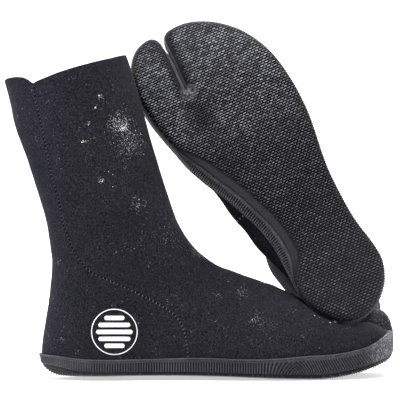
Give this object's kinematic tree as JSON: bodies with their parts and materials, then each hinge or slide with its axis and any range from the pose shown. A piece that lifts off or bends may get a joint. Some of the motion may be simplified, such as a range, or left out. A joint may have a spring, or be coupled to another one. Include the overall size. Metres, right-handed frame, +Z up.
{
  "type": "neoprene boots",
  "caption": "Pair of pull-on split-toe neoprene surf boots with wrap-up rubber soles; one stands, the other leans on it with its tread showing.",
  "frame": {"origin": "bottom centre of the box round the resting pair, on the ground", "axes": "+X from the heel to the toes of the standing right boot, +Y towards its inner side, +Z up"},
  "size_m": [0.3242, 0.298, 0.2944],
  "materials": {
    "neoprene": "knit-faced neoprene, matt",
    "sole_rubber": "moulded rubber, satin",
    "insole_foam": "fabric-topped foam",
    "seam_tape": "glued stretch tape",
    "seam_thread": "blind-stitch thread",
    "print_film": "screen print"
  },
  "bodies": {
    "right_foot": {"right_outsole": "sole_rubber", "right_rand": "sole_rubber", "right_toe_split_rubber": "sole_rubber", "right_bottom_panel": "neoprene", "right_insole": "insole_foam", "right_vamp": "neoprene", "right_heel_cup": "neoprene", "right_ankle_flex_front": "neoprene", "right_ankle_flex_back": "neoprene", "right_foot_tape_lateral": "seam_tape", "right_foot_tape_medial": "seam_tape", "right_foot_stitching_lateral": "seam_thread", "right_foot_stitching_medial": "seam_thread", "right_heel_print": "print_film"},
    "right_shaft": {"right_shaft_front": "neoprene", "right_shaft_back": "neoprene", "right_shaft_tape_lateral": "seam_tape", "right_shaft_tape_medial": "seam_tape", "right_shaft_stitching_lateral": "seam_thread", "right_shaft_stitching_medial": "seam_thread"},
    "left_foot": {"left_outsole": "sole_rubber", "left_rand": "sole_rubber", "left_toe_split_rubber": "sole_rubber", "left_bottom_panel": "neoprene", "left_insole": "insole_foam", "left_vamp": "neoprene", "left_heel_cup": "neoprene", "left_ankle_flex_front": "neoprene", "left_ankle_flex_back": "neoprene", "left_foot_tape_lateral": "seam_tape", "left_foot_tape_medial": "seam_tape", "left_foot_stitching_lateral": "seam_thread", "left_foot_stitching_medial": "seam_thread", "left_heel_print": "print_film"},
    "left_shaft": {"left_shaft_front": "neoprene", "left_shaft_back": "neoprene", "left_shaft_tape_lateral": "seam_tape", "left_shaft_tape_medial": "seam_tape", "left_shaft_stitching_lateral": "seam_thread", "left_shaft_stitching_medial": "seam_thread"}
  },
  "joints": [
    {"name": "right_ankle_flex", "type": "hinge", "parent": "right_foot", "child": "right_shaft", "pos_m": [-0.0715, -0.11345, 0.092], "axis": [0, 1, 0], "range_deg": [-25, 0], "stiffness_Nm_per_rad": 2, "deforming": ["right_ankle_flex_front", "right_ankle_flex_back"]},
    {"name": "left_boot_lift", "type": "slide", "parent": "right_foot", "child": "left_foot", "axis": [0, 0, 1], "range_m": [0, 0.3]},
    {"name": "left_ankle_flex", "type": "hinge", "parent": "left_foot", "child": "left_shaft", "pos_m": [0.10086, -0.02364, 0.0887], "axis": [0.9021, 0.0862, 0.4227], "range_deg": [0, 25], "stiffness_Nm_per_rad": 2, "deforming": ["left_ankle_flex_front", "left_ankle_flex_back"]}
  ]
}
